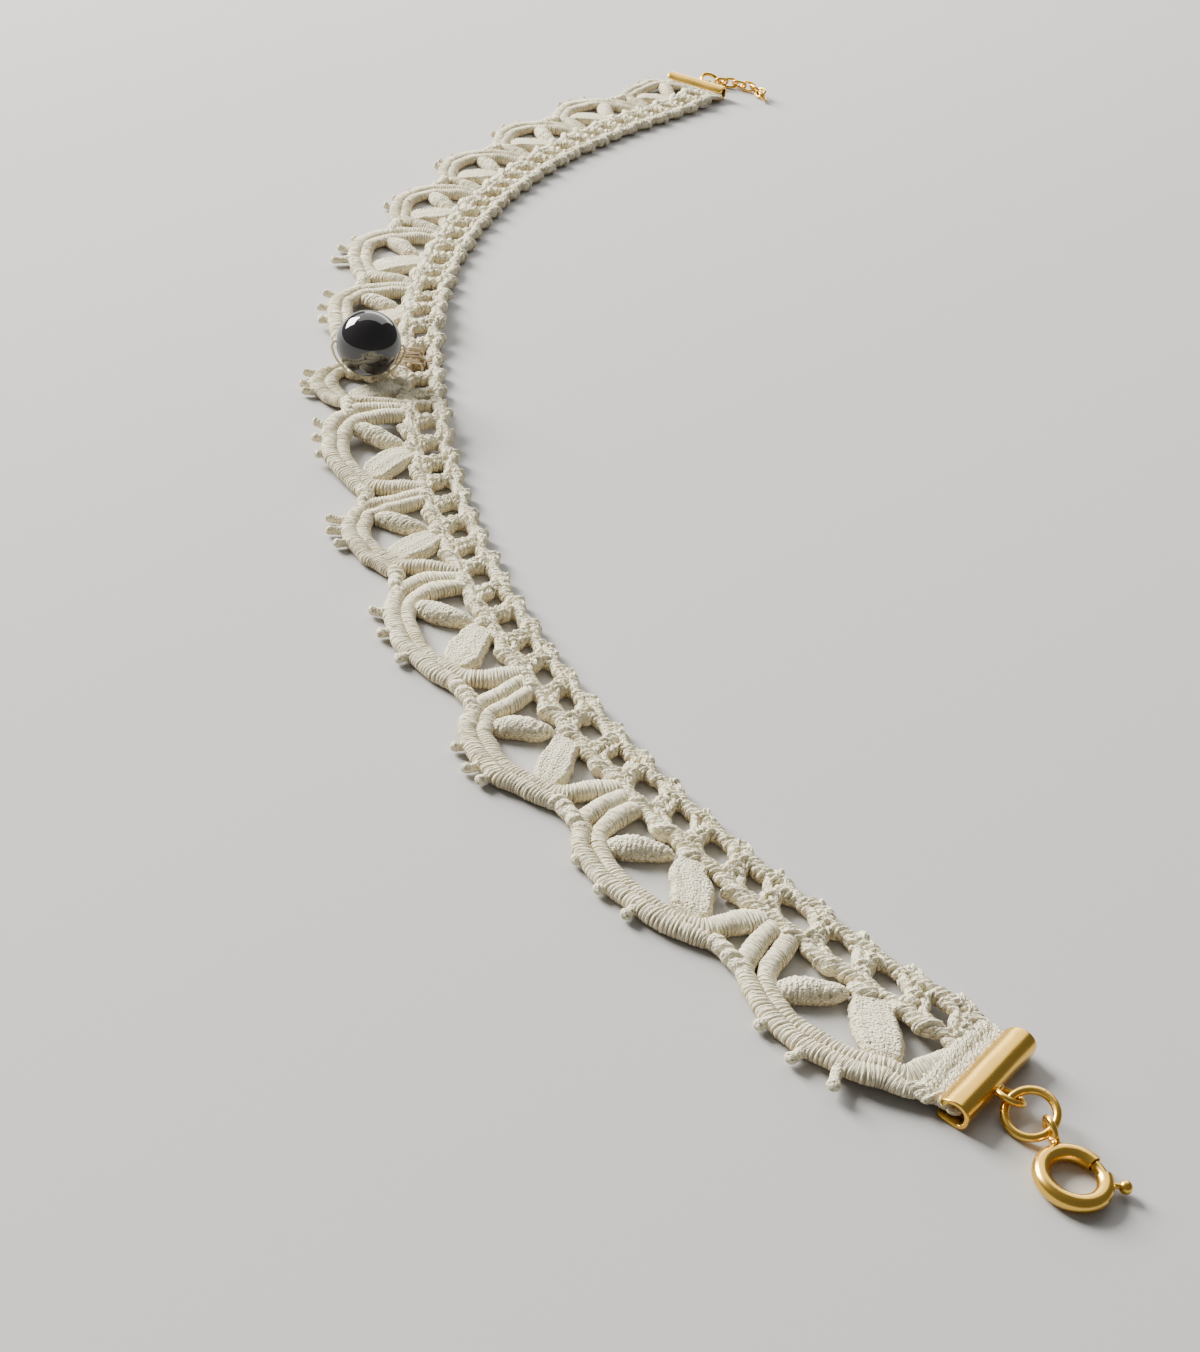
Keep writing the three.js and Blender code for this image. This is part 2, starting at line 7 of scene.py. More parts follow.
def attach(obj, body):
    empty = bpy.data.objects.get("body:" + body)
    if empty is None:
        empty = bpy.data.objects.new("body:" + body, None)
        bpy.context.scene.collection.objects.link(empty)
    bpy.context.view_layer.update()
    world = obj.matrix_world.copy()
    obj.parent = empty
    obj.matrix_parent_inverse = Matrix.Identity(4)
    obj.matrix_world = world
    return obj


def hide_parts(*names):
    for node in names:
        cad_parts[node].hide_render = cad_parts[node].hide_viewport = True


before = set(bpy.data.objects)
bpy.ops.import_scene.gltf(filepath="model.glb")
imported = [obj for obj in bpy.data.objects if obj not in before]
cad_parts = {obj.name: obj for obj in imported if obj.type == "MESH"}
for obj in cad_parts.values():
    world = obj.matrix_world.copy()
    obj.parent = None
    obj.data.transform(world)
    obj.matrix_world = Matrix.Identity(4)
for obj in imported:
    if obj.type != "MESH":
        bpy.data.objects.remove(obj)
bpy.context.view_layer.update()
mm = 0.001
degree = math.pi / 180
rng = np.random.default_rng(14)
print("frame loaded")


# Shader sums. A Wire is one output of a node, and sums on it add Math nodes.
class Wire:
    def __init__(self, paint, socket):
        self.paint = paint
        self.socket = socket

    def worked(self, operation, first, second):
        return self.paint.node("ShaderNodeMath", {"operation": operation}, {0: first, 1: second})

    def __add__(self, other):
        return self.worked("ADD", self, other)

    def __radd__(self, other):
        return self.worked("ADD", other, self)

    def __sub__(self, other):
        return self.worked("SUBTRACT", self, other)

    def __rsub__(self, other):
        return self.worked("SUBTRACT", other, self)

    def __mul__(self, other):
        return self.worked("MULTIPLY", self, other)

    def __rmul__(self, other):
        return self.worked("MULTIPLY", other, self)


class Paint:
    def __init__(self, name, **settings):
        self.material = bpy.data.materials.new(name)
        self.material.use_nodes = True
        self.tree = self.material.node_tree
        self.shader = self.tree.nodes["Principled BSDF"]
        for socket, value in settings.items():
            self.shader.inputs[socket].default_value = value

    def node(self, kind, settings, sockets, out=0):
        made = self.tree.nodes.new(kind)
        for key, value in settings.items():
            if key == "stops":
                for stop in value[2:]:
                    made.color_ramp.elements.new(stop[0])
                for element, stop in zip(made.color_ramp.elements, value):
                    element.position = stop[0]
                    element.color = (*stop[1], 1)
            else:
                setattr(made, key, value)
        for key, value in sockets.items():
            if isinstance(value, Wire):
                self.tree.links.new(value.socket, made.inputs[key])
            else:
                made.inputs[key].default_value = value
        return Wire(self, made.outputs[out])

    def feed(self, socket, wire):
        self.tree.links.new(wire.socket, self.shader.inputs[socket])

    def noise(self, scale, detail=3, roughness=0.55, vector=None):
        sockets = {"Scale": scale, "Detail": detail, "Roughness": roughness}
        sockets["Vector"] = vector or self.place()
        return self.node("ShaderNodeTexNoise", {}, sockets)

    def place(self):
        return self.node("ShaderNodeTexCoord", {}, {}, out=3)

    def blend(self, share, first, second):
        return self.node("ShaderNodeMix", {"data_type": "RGBA"},
                         {0: share, 6: first, 7: second}, out=2)

    def ramp(self, share, stops):
        return self.node("ShaderNodeValToRGB", {"stops": stops}, {"Fac": share})

    def bump(self, height, distance, strength=1.0):
        return self.node("ShaderNodeBump", {},
                         {"Height": height, "Distance": distance, "Strength": strength})


# ---- run of the lace ----
# The same run as the solid lace: places along it are in scallops, and the rest is in mm.
laceRun = {
    "start": (35.31, -115.14),
    "direction": 145.8,
    "lengths": (20.3, 19.9, 19.5, 18.3, 18.3, 17.3, 17.8, 20.1, 20.0, 18.9, 18.5, 18.6, 18.9, 18.8),
    "turns": (-8.3, -8.0, -7.8, -7.1, -6.1, -4.9, -4.6, -6.5, -7.8, -7.7, -6.8, -6.9, -5.8, 7.5),
    "reaches": (.95, .92, 1.04, 1.0, 1.03, 1.03, 1.13, 1.0, 1.08, .97, .94, .95, .97, .8),
    "archRoot": 3,
    "liftWidth": 9,
    "pitch": 19,
    "tab": 0.085,
    "pinchTo": 0.48,
    "pinchFrom": 0.3,
    # How far each join between scallops has been pulled along at the arches.
    "pulls": (0, .1, .5, -1.2, 1.2, -1.3, .5, 0, 0, 0, 0, 0, 0, 0, 0),
}
# Columns: place along, lift of the eyelet line, lift of the arches, lean of the arches.
laceRelief = np.array([
    (.15, .58, .58, 0), (.6, 0, 0, 0), (5, 0, 0, 0), (5.5, .3, .6, .2), (6, 1.3, 1.2, .4),
    (6.3, 0, 0, -.3), (6.5, 0, 0, -.7), (7, 0, 0, -2.8), (7.5, 1.1, .6, 0), (8, .3, .4, -1.3),
    (8.5, 0, 0, .4), (9, 0, 0, 0), (13.4, 0, 0, 0), (13.85, .58, .58, 0),
])
scallopCount = len(laceRun["lengths"])


def runStarts():
    x, y = laceRun["start"]
    heading = laceRun["direction"] * degree
    rows = [(x, y, heading)]
    for length, turn in zip(laceRun["lengths"], laceRun["turns"]):
        turn = turn * degree
        x += length / turn * (math.sin(heading + turn) - math.sin(heading))
        y -= length / turn * (math.cos(heading + turn) - math.cos(heading))
        heading += turn
        rows.append((x, y, heading))
    return np.array(rows)


laceStarts = runStarts()


def runAt(place):
    place = np.asarray(place, float)
    index = np.clip(np.floor(place).astype(int), 0, scallopCount - 1)
    length = np.array(laceRun["lengths"])[index]
    turn = np.array(laceRun["turns"])[index] * degree
    part = np.clip(place - index, 0, 1)
    start = laceStarts[index]
    heading = start[..., 2] + turn * part
    x = start[..., 0] + length / turn * (np.sin(heading) - np.sin(start[..., 2]))
    y = start[..., 1] - length / turn * (np.cos(heading) - np.cos(start[..., 2]))
    past = (place - np.clip(place, 0, scallopCount)) * length
    return x + past * np.cos(heading), y + past * np.sin(heading), heading


def reliefAt(place, column):
    rows = laceRelief
    place = np.clip(place, rows[0, 0], rows[-1, 0])
    index = np.clip(np.searchsorted(rows[:, 0], place, side="right"), 1, len(rows) - 1)
    before, after = rows[index - 1], rows[index]
    part = (place - before[..., 0]) / (after[..., 0] - before[..., 0])
    ease = part * part * (3 - 2 * part)
    return before[..., column] * (1 - ease) + after[..., column] * ease


# "clear" is how far the lace keeps from the ball, and "sewn" is the place of its stitches.
bead = {"at": 6.6, "across": 6.2, "height": 5.65, "radius": 4, "bore": .55, "clear": .2,
        "sewn": (6.88, .9, .8)}


def layLace(along, across, height):
    # Takes points of the flat lace, with along in mm of the even pitch, to where they lie.
    pull = np.interp(along / laceRun["pitch"], np.arange(scallopCount + 1), laceRun["pulls"])
    place = (along + pull * np.clip((across - 1.5) / 4, 0, 1)) / laceRun["pitch"]
    x, y, heading = runAt(place)
    reach = np.interp(place - .5, np.arange(scallopCount), laceRun["reaches"])
    root = laceRun["archRoot"]
    wide = np.where(across > root, root + (across - root) * reach, across)
    share = wide / laceRun["liftWidth"]
    lean = reliefAt(place, 3) * np.clip(share, 0, 1.5)
    liftIn, liftOut = reliefAt(place, 1), reliefAt(place, 2)
    fromEnd = np.clip(np.minimum(place, scallopCount - place) / laceRun["pinchFrom"], 0, 1)
    pinch = laceRun["pinchTo"] + (1 - laceRun["pinchTo"]) * fromEnd * fromEnd * (3 - 2 * fromEnd)
    return np.stack([
        x - wide * np.sin(heading) + lean * np.cos(heading),
        y + wide * np.cos(heading) + lean * np.sin(heading),
        liftIn + (liftOut - liftIn) * np.clip(share, 0, 1) + height * pinch,
    ], axis=-1) * mm


def layPlace(place, across, height):
    # One place, given in scallops along.
    return layLace(np.array(place * laceRun["pitch"]), np.array(float(across)), np.array(float(height)))


beadMiddle = layPlace(bead["at"], bead["across"], 0) / mm


# ---- strands ----
# A section is the closed outline of a strand, from the middle of its underside round. Its
# columns are across, up, and how far stitches show.
def roundSection(sides, squareness=0.85):
    # Most of the points are on the upper half, which is the half that shows.
    upper = np.linspace(-8, 188, sides - 4)
    turn = np.concatenate([[-68, -34], upper, [214, 248]]) * degree
    across = np.sign(np.cos(turn)) * np.abs(np.cos(turn)) ** squareness
    up = .5 + .5 * np.sign(np.sin(turn)) * np.abs(np.sin(turn)) ** squareness
    return np.stack([across, up, np.clip(.35 + up, 0, 1)], axis=1)


def overUnderside(top):
    under = np.array([(.4, 0, 0), (.92, .08, 0), (-.92, .08, 0), (-.4, 0, 0)])
    return np.concatenate([under[:2], top, under[2:]])


def cushionSection(sides):
    across = np.cos(np.linspace(0, math.pi, sides))
    up = .3 + .7 * (1 - np.abs(across) ** 2.4) ** .6
    return overUnderside(np.stack([across, up, np.full(sides, 1)], axis=1))


def rimmedSection(sides, rim=0.8, hollow=0.2):
    across = np.cos(np.linspace(0, math.pi, sides))
    edge = np.exp(-((np.abs(across) - rim) / .17) ** 2)
    crown = (1 - np.abs(across) ** 5) * (1 - hollow)
    up = .25 + .75 * (crown + hollow * edge)
    spine = .05 * np.exp(-(across / .14) ** 2)
    return overUnderside(np.stack([across, up + spine, .3 + .7 * edge], axis=1))


def smoothPath(points, step):
    # A curve through the points, at even steps. Extra columns come along with the place.
    points = np.asarray(points, float)
    padded = np.concatenate([2 * points[:1] - points[1:2], points, 2 * points[-1:] - points[-2:-1]])
    part = np.linspace(0, 1, 24, endpoint=False)[:, None]
    fine = [.5 * (2 * b + (c - a) * part + (2 * a - 5 * b + 4 * c - d) * part ** 2
                  + (3 * b - a - 3 * c + d) * part ** 3)
            for a, b, c, d in zip(padded, padded[1:], padded[2:], padded[3:])]
    fine = np.concatenate(fine + [points[-1:]])
    way = np.concatenate([[0], np.cumsum(np.linalg.norm(np.diff(fine[:, :2], axis=0), axis=1))])
    even = np.linspace(0, way[-1], max(int(round(way[-1] / step)), 4) + 1)
    return even, np.stack([np.interp(even, way, column) for column in fine.T], axis=1)


def scattered(column, row, seed):
    mixed = np.sin(column * 12.99 + row * 78.23 + seed * 3.7) * 4375.85
    return mixed - np.floor(mixed)


def knots(x, y, size):
    # Domed stitches, one about this size to each cell, from 0 between them to 1.
    x, y = x / size, y / size
    column, row = np.floor(x), np.floor(y)
    nearest = np.full(x.shape, 9.0)
    for i in (-1, 0, 1):
        for j in (-1, 0, 1):
            away = ((column + i + .2 + .6 * scattered(column + i, row + j, 0) - x) ** 2
                    + (row + j + .2 + .6 * scattered(column + i, row + j, 5) - y) ** 2)
            nearest = np.minimum(nearest, away)
    return np.sqrt(np.clip(1 - nearest * 1.5, 0, 1))


class Cloth:
    # Gathers strands in the flat lace and makes one mesh of them where the lace lies.
    def __init__(self):
        self.points, self.faces, self.shade, self.stitch, self.count = [], [], [], [], 0

    def strand(self, path, kind, base=0.0, ends=(.5, .5)):
        # path columns: along, across, half width, top, all in mm.
        section, look = kind["section"], kind["look"]
        way, line = smoothPath(path, look["pitch"] / look["steps"])
        along = np.gradient(line[:, :2], axis=0)
        along /= np.linalg.norm(along, axis=1)[:, None] + 1e-9
        side = np.stack([-along[:, 1], along[:, 0]], axis=1)
        size = np.ones(len(way))
        for distance, reach in ((way, ends[0]), (way[-1] - way, ends[1])):
            near = np.clip(distance / reach, .02, 1)
            size *= np.sqrt(1 - (1 - near) ** 2)
        half, top = line[:, 2], line[:, 3]
        across, up, shows = section.T
        girth = np.hypot(np.diff(across, append=across[0]) * half.mean(),
                         np.diff(up, append=up[0]) * top.mean())
        girth = np.concatenate([[0], np.cumsum(girth)[:-1]])
        seed = rng.uniform(0, 400)
        rib = np.arange(len(way)) / look["steps"]
        odd = scattered(np.floor(rib), 1, seed) - .5
        other = scattered(np.floor(rib), 2, seed) - .5
        ridge = (np.abs(np.sin(math.pi * rib)) ** .6 - .7) * (1 + .7 * odd) * look["depth"]
        knot = (knots(way[:, None] + seed, girth[None, :] + seed, look["knot"]) - .6) * look["knotDepth"]
        rise = (ridge[:, None] + knot) * shows[None, :]
        swell = 1 + look["swell"] * np.sin(way * 2 * math.pi / look["swellPitch"] + seed)
        fat = half * (.08 + .92 * size) * swell * (1 + look["uneven"] * other)
        wide = across[None, :] * (fat[:, None] + .6 * rise)
        height = base + (top - base)[:, None] * up[None, :]
        middle = (base + (top - base) * .45)[:, None]
        height = middle + (height - middle) * size[:, None]
        height += rise * np.clip(2 * up - .5, 0, 1)[None, :]
        # Stitches lie at a slant, and no two are laid quite alike.
        slip = look["slant"] * across[None, :] * half[:, None] * size[:, None] + odd[:, None] * .06
        flat = line[:, None, :2] + side[:, None, :] * wide[:, :, None] + along[:, None, :] * slip[:, :, None]
        points = np.concatenate([flat, np.maximum(height, .01)[:, :, None]], axis=2)
        rings, sides = points.shape[:2]
        index = np.arange(rings * sides).reshape(rings, sides) + self.count
        beside = np.roll(index, -1, axis=1)
        quads = np.stack([index[:-1], beside[:-1], beside[1:], index[1:]], axis=-1).reshape(-1, 4)
        self.faces.extend(quads.tolist() + [index[0][::-1].tolist(), index[-1].tolist()])
        # Painted shade: each point is darker the lower it lies and in the dips between ribs and knotted
        # stitches. The low and dip weights of the look set how strong it is, and it is kept as the shade
        # attribute.
        low = 1 - np.clip(height / 1.45, 0, 1)
        dip = np.clip(-rise / (look["depth"] + look["knotDepth"]), 0, 1)
        self.shade.append(np.clip(look["low"] * low + look["dip"] * dip, 0, 1).reshape(-1))
        stitch = np.empty(points.shape)
        stitch[:, :, 0] = way[:, None] / look["grain"][0]
        stitch[:, :, 1] = girth[None, :] / look["grain"][1]
        stitch[:, :, 2] = seed
        self.stitch.append(stitch.reshape(-1, 3))
        self.points.append(points.reshape(-1, 3))
        self.count += rings * sides

    def lay(self, name):
        points = np.concatenate(self.points)
        # The lace is cut off inside each crimp.
        inside = laceRun["tab"] * laceRun["pitch"]
        along = np.clip(points[:, 0], -inside, scallopCount * laceRun["pitch"] + inside)
        placed = layLace(along, points[:, 1], points[:, 2])
        # The bead presses down what lies under it.
        under = placed[:, :2] / mm - beadMiddle[:2]
        room = bead["radius"] + bead["clear"]
        ceiling = bead["height"] - np.sqrt(np.clip(room ** 2 - (under ** 2).sum(axis=1), 0, None))
        covered = (under ** 2).sum(axis=1) < room ** 2
        placed[:, 2] = np.where(covered, np.minimum(placed[:, 2], ceiling * mm), placed[:, 2])
        mesh = bpy.data.meshes.new(name)
        mesh.from_pydata(placed.tolist(), [], self.faces)
        mesh.attributes.new("shade", "FLOAT", "POINT").data.foreach_set(
            "value", np.concatenate(self.shade))
        mesh.attributes.new("stitch", "FLOAT_VECTOR", "POINT").data.foreach_set(
            "vector", np.concatenate(self.stitch).reshape(-1))
        mesh.polygons.foreach_set("use_smooth", [True] * len(mesh.polygons))
        piece = bpy.data.objects.new(name, mesh)
        bpy.context.collection.objects.link(piece)
        return piece


# ---- motif of one scallop ----
# In a look, low and dip weigh the painted shade: darker low down and in the dips between stitches.
def kindOf(section, **look):
    usual = {"pitch": .35, "steps": 4, "depth": .15, "slant": .12, "uneven": .1, "swell": .03,
             "swellPitch": 4.1, "knot": .5, "knotDepth": .02, "grain": (.12, .9), "low": .6, "dip": .75}
    return {"section": section, "look": {**usual, **look}}


kinds = {
    "satin": kindOf(roundSection(15)),
    "small leaf": kindOf(cushionSection(17), pitch=.44, slant=.35, depth=.07, knot=.42, knotDepth=.36,
                         grain=(.22, .22)),
    "large leaf": kindOf(rimmedSection(21), pitch=.42, slant=.2, depth=.1, knot=.38, knotDepth=.27,
                         grain=(.18, .22)),
    "braid": kindOf(roundSection(16, 1), pitch=1.0, steps=7, depth=.3, swell=.1, swellPitch=1.9,
                    slant=.3, knot=.5, knotDepth=.3, grain=(.24, .24)),
    "cord": kindOf(roundSection(15, 1), pitch=.56, steps=4, depth=.22, slant=.75, uneven=.22, swell=.16,
                   swellPitch=1.7, knot=.6, knotDepth=.36, grain=(.2, .24)),
    "picot": kindOf(roundSection(14, 1), steps=5, depth=.05, slant=0, knotDepth=.03, low=.25, dip=.5,
                    grain=(.2, .24)),
}
# Paths are rows of place in the scallop, across, half width and top. Ends: how round each end is.
motif = [
    # The outer band of the arch runs on into the second bar, and the inner band into both others.
    {"kind": "satin", "ends": (.7, .6), "path": [
        (.07, 8.7, .62, 1.2), (.14, 9.2, .84, 1.38), (.21, 9.8, .95, 1.42), (.29, 10.45, .92, 1.42),
        (.38, 11.05, .9, 1.42), (.49, 11.45, .9, 1.42), (.6, 11.35, .9, 1.42), (.71, 10.95, .88, 1.4),
        (.81, 10.05, .86, 1.38), (.885, 9.0, .82, 1.38), (.93, 7.9, .8, 1.45), (.955, 6.4, .86, 1.55),
        (.98, 4.4, .9, 1.62), (1.01, 1.9, .85, 1.4)]},
    {"kind": "satin", "ends": (.6, .6), "path": [
        (.06, 1.9, 1.0, 1.4), (.1, 4.4, 1.12, 1.66), (.125, 6.4, 1.04, 1.58), (.155, 7.7, .94, 1.4),
        (.23, 8.65, .84, 1.34), (.31, 9.3, .82, 1.34), (.4, 9.85, .82, 1.34), (.5, 10.1, .82, 1.34),
        (.61, 10.0, .82, 1.34), (.7, 9.5, .8, 1.34), (.775, 8.75, .78, 1.34), (.825, 7.8, .76, 1.4),
        (.855, 6.4, .84, 1.55), (.89, 4.4, .9, 1.62), (.925, 1.9, .85, 1.4)]},
    {"kind": "small leaf", "ends": (1.3, 1.5), "path": [
        (.775, 8.5, .55, 1.15), (.74, 7.4, 1.1, 1.45), (.69, 6.1, 1.3, 1.62),
        (.635, 4.9, 1.1, 1.5), (.57, 3.3, .75, 1.3)]},
    {"kind": "large leaf", "ends": (1.2, 1.4), "path": [
        (.505, 2.1, 1.25, 1.3), (.44, 3.8, 1.72, 1.5), (.375, 5.2, 1.88, 1.58),
        (.31, 6.7, 1.8, 1.52), (.25, 8.0, 1.35, 1.25)]},
    {"kind": "braid", "ends": (.5, .5), "path": [
        (.86, 9.2, .55, 1.2), (.93, 8.9, .68, 1.5), (1.0, 8.65, .74, 1.55), (1.07, 8.6, .74, 1.55),
        (1.14, 8.9, .62, 1.3)]},
]
# Tips of the picots of each scallop in turn, as place and across. The list starts again after.
picotTips = [
    [(.31, 13.6), (.5, 13.6), (.68, 12.7)], [(.39, 12.9), (.56, 12.9), (.75, 12.0)],
    [(.39, 13.1), (.5, 13.4), (.67, 12.9)], [(.37, 12.8), (.58, 13.2), (.77, 12.8)],
    [(.47, 13.3), (.63, 13.6), (.78, 13.2)], [(.46, 13.0), (.64, 13.0), (.8, 12.6)],
    [(.37, 13.0), (.5, 13.2), (.76, 13.1)], [(.38, 13.0), (.52, 13.6), (.8, 13.1)],
]
eyeletLine = {
    "eyelets": [(0, 1.75, 1.25), (.25, 1.15, 1.1), (.5, 1.6, 1.25), (.75, 1.35, 1.2)],
    "eyeletMiddle": -.05, "squareness": .75, "cordHalf": .42, "top": 1.3, "slope": .4,
    "outerRail": 1.95, "innerRail": -2.05, "railHalf": .58, "railTop": 1.38,
    "bumps": (.2, .45, .7, .95), "bumpOut": -3.05,
    "lumps": ((.24, 2.35, .8), (.72, 2.4, .85), (.53, 2.45, .8), (.93, 2.2, .7)), "jitter": .1,
}


def nudged(path, index, amount=eyeletLine["jitter"]):
    # The rows of a path in one scallop, each a little out of true as thread is.
    return [((index + u) * laceRun["pitch"] + rng.normal(0, amount), w + rng.normal(0, amount),
             half * rng.normal(1, .04), top * rng.normal(1, .03)) for u, w, half, top in path]


def roundPath(index, u, long, wide):
    # Once round an eyelet and a little over, so that the ends of the strand overlap.
    h = eyeletLine
    rows = []
    for k in range(17):
        angle = (90 + 370 * k / 16) * degree
        x, y = math.cos(angle), math.sin(angle)
        x = long * math.copysign(abs(x) ** h["squareness"], x)
        y = wide * math.copysign(abs(y) ** h["squareness"], y)
        rows.append((u + (x - h["slope"] * y) / laceRun["pitch"], h["eyeletMiddle"] + y,
                     h["cordHalf"], h["top"]))
    return nudged(rows, index, .09)


def addPicot(cloth, index, tip):
    # From the nearest place on the outer band of the arch to the tip.
    pitch = laceRun["pitch"]
    row = np.array(motif[0]["path"])
    u = np.linspace(.1, .92, 120)
    band = np.stack([u * pitch, np.interp(u, row[:, 0], row[:, 1])], axis=1)
    tip = np.array([tip[0] * pitch, tip[1]])
    root = band[np.argmin(np.linalg.norm(band - tip, axis=1))]
    out = (tip - root) / np.linalg.norm(tip - root)
    root, tip = root + out * .5 + (index * pitch, 0), tip - out * .1 + (index * pitch, 0)
    neck = root * .45 + tip * .55 + rng.normal(0, .06, 2)
    half = rng.normal(.5, .03)
    cloth.strand([(*root, .5, 1.3), (*neck, .4, 1.1), (*tip, half, 1.25), (*(tip + out * .4), half, 1.25)],
                 kinds["picot"], base=.15, ends=(.2, .5))


def addMotif(ground, knotted, index):
    for strand in motif:
        cloth = knotted if strand["kind"] == "braid" else ground
        cloth.strand(nudged(strand["path"], index), kinds[strand["kind"]], ends=strand["ends"])
    for tip in picotTips[index % len(picotTips)]:
        addPicot(knotted, index, tip)


def addHeading(cloth, index):
    h = eyeletLine
    cord = kinds["cord"]
    for u, long, wide in h["eyelets"]:
        cloth.strand(roundPath(index, u, long + .38, wide + .36), cord, ends=(.3, .3))
    for k in range(4):
        u = .125 + k / 4
        cloth.strand(nudged([(u - .035, 1.7, .5, 1.3), (u, 0, .56, 1.35), (u + .035, -1.8, .5, 1.3)],
                            index, .06), cord)
        for w in (.9, -.1, -1.1):
            side = rng.normal(-.018 * w, .008)
            cloth.strand(nudged([(u + side - .034, w - .15, .4, 1.35), (u + side, w, .5, 1.6),
                                 (u + side + .034, w + .15, .4, 1.35)], index, .06), cord, ends=(.4, .4))
    for u in h["bumps"]:
        for way in (-1, 1):
            out, size = h["bumpOut"] + rng.normal(0, .1), rng.normal(1, .09)
            cloth.strand(nudged([
                (u + way * .028, -1.9, .54, 1.4), (u + way * .026, -2.5, .56 * size, 1.45),
                (u + way * .014, out, .5 * size, 1.3)], index, .07), cord, ends=(.3, .5))
    for u, w, half in h["lumps"]:
        cloth.strand(nudged([(u - .05, w - .1, half * .85, 1.4), (u, w, half, 1.65),
                             (u + .05, w, half * .8, 1.4)], index), cord, ends=(.6, .6))


def addRails(cloth, first, last):
    # The two edges of the heading run on through the scallops.
    h = eyeletLine
    outer, inner = [], []
    for k in range(int(first * 16), int(last * 16) + 1):
        u = k / 16
        wave = math.cos(2 * math.pi * (u - .2) * 4)
        lump = math.cos(2 * math.pi * (u - .25) * 2)
        outer.append((u, h["innerRail"] - .2 * wave, h["railHalf"] * (1 + .1 * wave), h["railTop"]))
        inner.append((u, h["outerRail"] + .12 * lump, h["railHalf"] * (1 + .12 * lump), h["railTop"]))
    cloth.strand(nudged(outer, 0), kinds["cord"], ends=(.4, .4))
    cloth.strand(nudged(inner, 0), kinds["cord"], ends=(.4, .4))


def addTab(cloth, place, outward):
    # What goes into a crimp, with a solid band of stitches in front of it.
    inside, front = laceRun["tab"], place - outward * .03
    for k in range(9):
        w = -2.1 + k * 1.27
        cloth.strand(nudged([(front - outward * .01, w, .62, 1.3), (place, w, .62, 1.3),
                             (place + outward * inside, w, .6, 1.3)], 0), kinds["cord"], ends=(.3, .3))
    for back in (0, .045):
        at = front - outward * back
        cloth.strand(nudged([(at, -2.3, .7, 1.6), (at, 0, .8, 1.7), (at, 4, .85, 1.75),
                             (at, 8.6, .7, 1.6)], 0), kinds["cord"], ends=(.6, .6))
    cloth.strand(nudged([(place - outward * .12, 8.6, .8, 1.5), (place - outward * .04, 8.2, .9, 1.6),
                         (place, 7.9, .8, 1.3)], 0), kinds["cord"], ends=(.6, .6))


# Each length of lace is a sheet of its bands, leaves and rails, and the knotted stitches on it.
lengths = [("lace_near", 0, 5), ("lace_middle", 5, 10), ("lace_far", 10, 14)]
lacePieces = []
for name, first, last in lengths:
    ground, knotted = Cloth(), Cloth()
    for index in range(first, last):
        addMotif(ground, knotted, index)
        addHeading(knotted, index)
    inside = laceRun["tab"]
    addRails(ground, first - (inside if first == 0 else 0),
             last + (inside if last == scallopCount else 0))
    if first == 0:
        addTab(knotted, 0, -1)
    if last == scallopCount:
        addTab(knotted, last, 1)
    lacePieces.append((ground.lay(name), knotted.lay(name + "_stitches")))
    for cloth, piece in zip((ground, knotted), lacePieces[-1]):
        print(piece.name, "has", sum(len(face) - 2 for face in cloth.faces), "triangles")


# ---- metal and bead ----
def setDown(centre, direction, pitch=0, roll=0):
    return (Matrix.Translation(Vector(centre) * mm)
            @ Matrix.Rotation(direction * degree, 4, "Z") @ Matrix.Rotation(-pitch * degree, 4, "Y")
            @ Matrix.Rotation(roll * degree, 4, "X"))


def ringLine(radius, start=0, turn=360, steps=96, closed=True):
    angles = (start + turn * np.arange(steps + (not closed)) / steps) * degree
    return np.stack([radius * np.cos(angles), radius * np.sin(angles), 0 * angles], axis=1)


def tilted(points, angle, centre=(0, 0, 0)):
    # Points turned about x, then moved.
    cos, sin = math.cos(angle * degree), math.sin(angle * degree)
    x, y, z = np.moveaxis(np.asarray(points, float), -1, 0)
    return np.stack([x, y * cos - z * sin, y * sin + z * cos], axis=-1) + np.array(centre)


